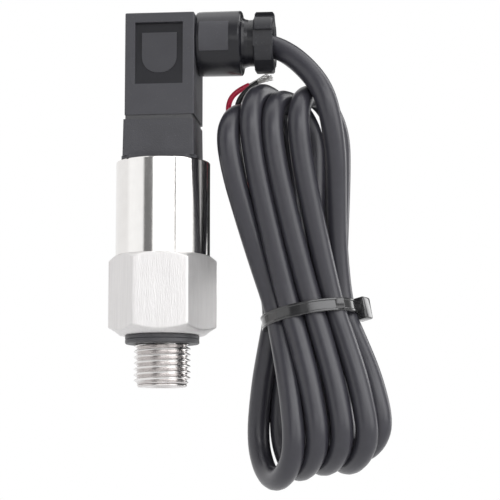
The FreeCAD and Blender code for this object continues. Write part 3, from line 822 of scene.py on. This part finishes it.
# ---- the cable tie -----------------------------------------------------------------------
def waist_matrix():
    """From a frame upright on the axis to the tied waist, square to its sloping strands."""
    return (Matrix.Translation(hank_point(*WAIST)) @ Matrix.Rotation(HANK_TURN, 4, "Z")
            @ Matrix.Rotation(-STRAP_SLOPE, 4, "Y") @ Matrix.Rotation(-STRAP_TILT, 4, "X"))


def rounded_bar(bm, size, middle, radius):
    """Box with rounded edges, in millimetres."""
    made = bmesh.ops.create_cube(bm, size=1.0)["verts"]
    bmesh.ops.scale(bm, vec=[side * MM for side in size], verts=made)
    bmesh.ops.translate(bm, vec=[part * MM for part in middle], verts=made)
    edges = list(dict.fromkeys(edge for vert in made for edge in vert.link_edges))
    return bmesh.ops.bevel(bm, geom=edges, offset=radius * MM, offset_type="OFFSET", segments=3,
                           profile=0.5, affect="EDGES", material=-1)["verts"]


def cable_tie():
    """Nylon strap with raised rails, its ratchet head and its cut tail."""
    bm = bmesh.new()
    half, mean = STRAP_WIDTH / 2, sum(WAIST_SEMI) / 2
    rail, edge, inner = 0.16, 0.14, 0.05
    outer, floor_out = STRAP_THICK, STRAP_THICK - rail
    side = [(inner, half - edge), (inner + edge, half), (outer - edge, half), (outer, half - edge),
            (outer, half - 0.42), (floor_out, half - 0.6)]
    outline = side + [(out, -up) for out, up in reversed(side)] + side[:1]
    spin_outline(bm, [(mean + out, up) for out, up in outline], 120)
    for vert in bm.verts:
        flat = vert.co.xy
        out = flat.length - mean * MM
        direction = flat.normalized()
        vert.co.x = (WAIST_SEMI[0] * MM + out) * direction.x
        vert.co.y = (WAIST_SEMI[1] * MM + out) * direction.y
    reach = WAIST_SEMI[0] + STRAP_THICK
    ratchet = rounded_bar(bm, RATCHET_SIZE, (0.0, 0.0, -RATCHET_DROP), 0.45)
    turn = Matrix.Translation(((reach + 0.9) * MM, 0.0, 0.0)) @ Matrix.Rotation(RATCHET_TURN, 4, "Z")
    bmesh.ops.transform(bm, matrix=turn, verts=ratchet)
    rounded_bar(bm, TAIL_SIZE, TAIL_PLACE, 0.2)
    bmesh.ops.transform(bm, matrix=waist_matrix(), verts=bm.verts)
    return mesh_piece(
        "tie", bm, MATERIALS["tie_nylon"], "angle_plug", "cable_tie", slot="tie_nylon", smooth=35.0)


# ---- light, floor and camera -------------------------------------------------------------
def studio_light():
    """Tent of soft light with dark cards, as a function of direction round the object."""
    world = bpy.data.worlds.new("studio")
    SCENE.world = world
    world.use_nodes = True
    nodes = Nodes(world.node_tree)
    direction = nodes.node("TexCoord", output="Generated")
    x, y, z = nodes.parts(direction)
    across = x * math.cos(YAW) + y * math.sin(YAW)
    towards = x * math.sin(YAW) - y * math.cos(YAW)
    turn = across.maths("ARCTAN2", towards) / math.tau + 0.5

    def band(degrees):
        return degrees / 360 + 0.5

    def panel(azimuths, heights, soft):
        """1 inside a range of azimuth and of height, fading over soft."""
        (left, right), (low, high) = azimuths, heights
        upright = z.step(low, low + soft) * (1 - z.step(high - soft, high))
        inward = turn.step(band(left), band(left + SIDE_FADE[0]))
        return upright * inward * (1 - turn.step(band(right - SIDE_FADE[1]), band(right)))

    light = nodes.node("ValToRGB", {"stops": [(band(d), c) for d, c in TENT]}, {"Fac": turn})
    for azimuths, heights, soft, bright in (LOW_PANEL, HIGH_PANEL):
        light = nodes.mix(panel(azimuths, heights, soft), light, bright)
    (low, high), bright = LID
    light = nodes.mix(z.maths("ABSOLUTE").step(low, high), light, bright)
    seen = nodes.node("LightPath", output="Is Camera Ray")
    shader = world.node_tree.nodes["Background"]
    feed(nodes.tree, shader.inputs["Color"], nodes.mix(seen, light, (1.0, 1.0, 1.0)))
    shader.inputs["Strength"].default_value = 1.0


def floor():
    """Plain pale floor under the object."""
    bm = bmesh.new()
    bmesh.ops.create_grid(bm, x_segments=1, y_segments=1, size=FLOOR_HALF)
    level = cad_box[0][2] - FLOOR_DROP * MM
    bmesh.ops.translate(bm, vec=(0, 0, level), verts=bm.verts)
    mesh = bpy.data.meshes.new("floor")
    bm.to_mesh(mesh)
    bm.free()
    piece = bpy.data.objects.new("floor", mesh)
    SCENE.collection.objects.link(piece)
    finish = Finish("floor_paper", Roughness=0.9)
    tone = finish.noise(0.02, 2.0, 0.5)
    finish.vary(Base_Color=finish.mix(tone, (0.69, 0.69, 0.69), (0.71, 0.71, 0.71)))
    piece.data.materials.append(finish.material)


def camera():
    data = bpy.data.cameras.new("camera")
    data.lens = LENS
    data.sensor_width = 36.0
    data.clip_start = 0.01
    eye = bpy.data.objects.new("camera", data)
    SCENE.collection.objects.link(eye)
    eye.location = Vector(EYE) * MM
    eye.rotation_euler = (math.pi / 2 + PITCH, 0.0, YAW)
    SCENE.camera = eye
    SCENE.view_settings.view_transform = "Standard"


dress_nodes()
process_fitting()
cable(cable_tie())
bare_core("red_wire", RED_ROUTE, "red_insulation", "red_core",
          tinned_strands("red_wire_strands", RED_ROUTE[-1], RED_TIP, "red_strands"))
bare_core("black_wire", BLACK_ROUTE, "black_insulation", "black_core",
          tinned_strands("black_wire_strands", BLACK_ROUTE[-1], BLACK_TIP, "black_strands"))
studio_light()
floor()
camera()
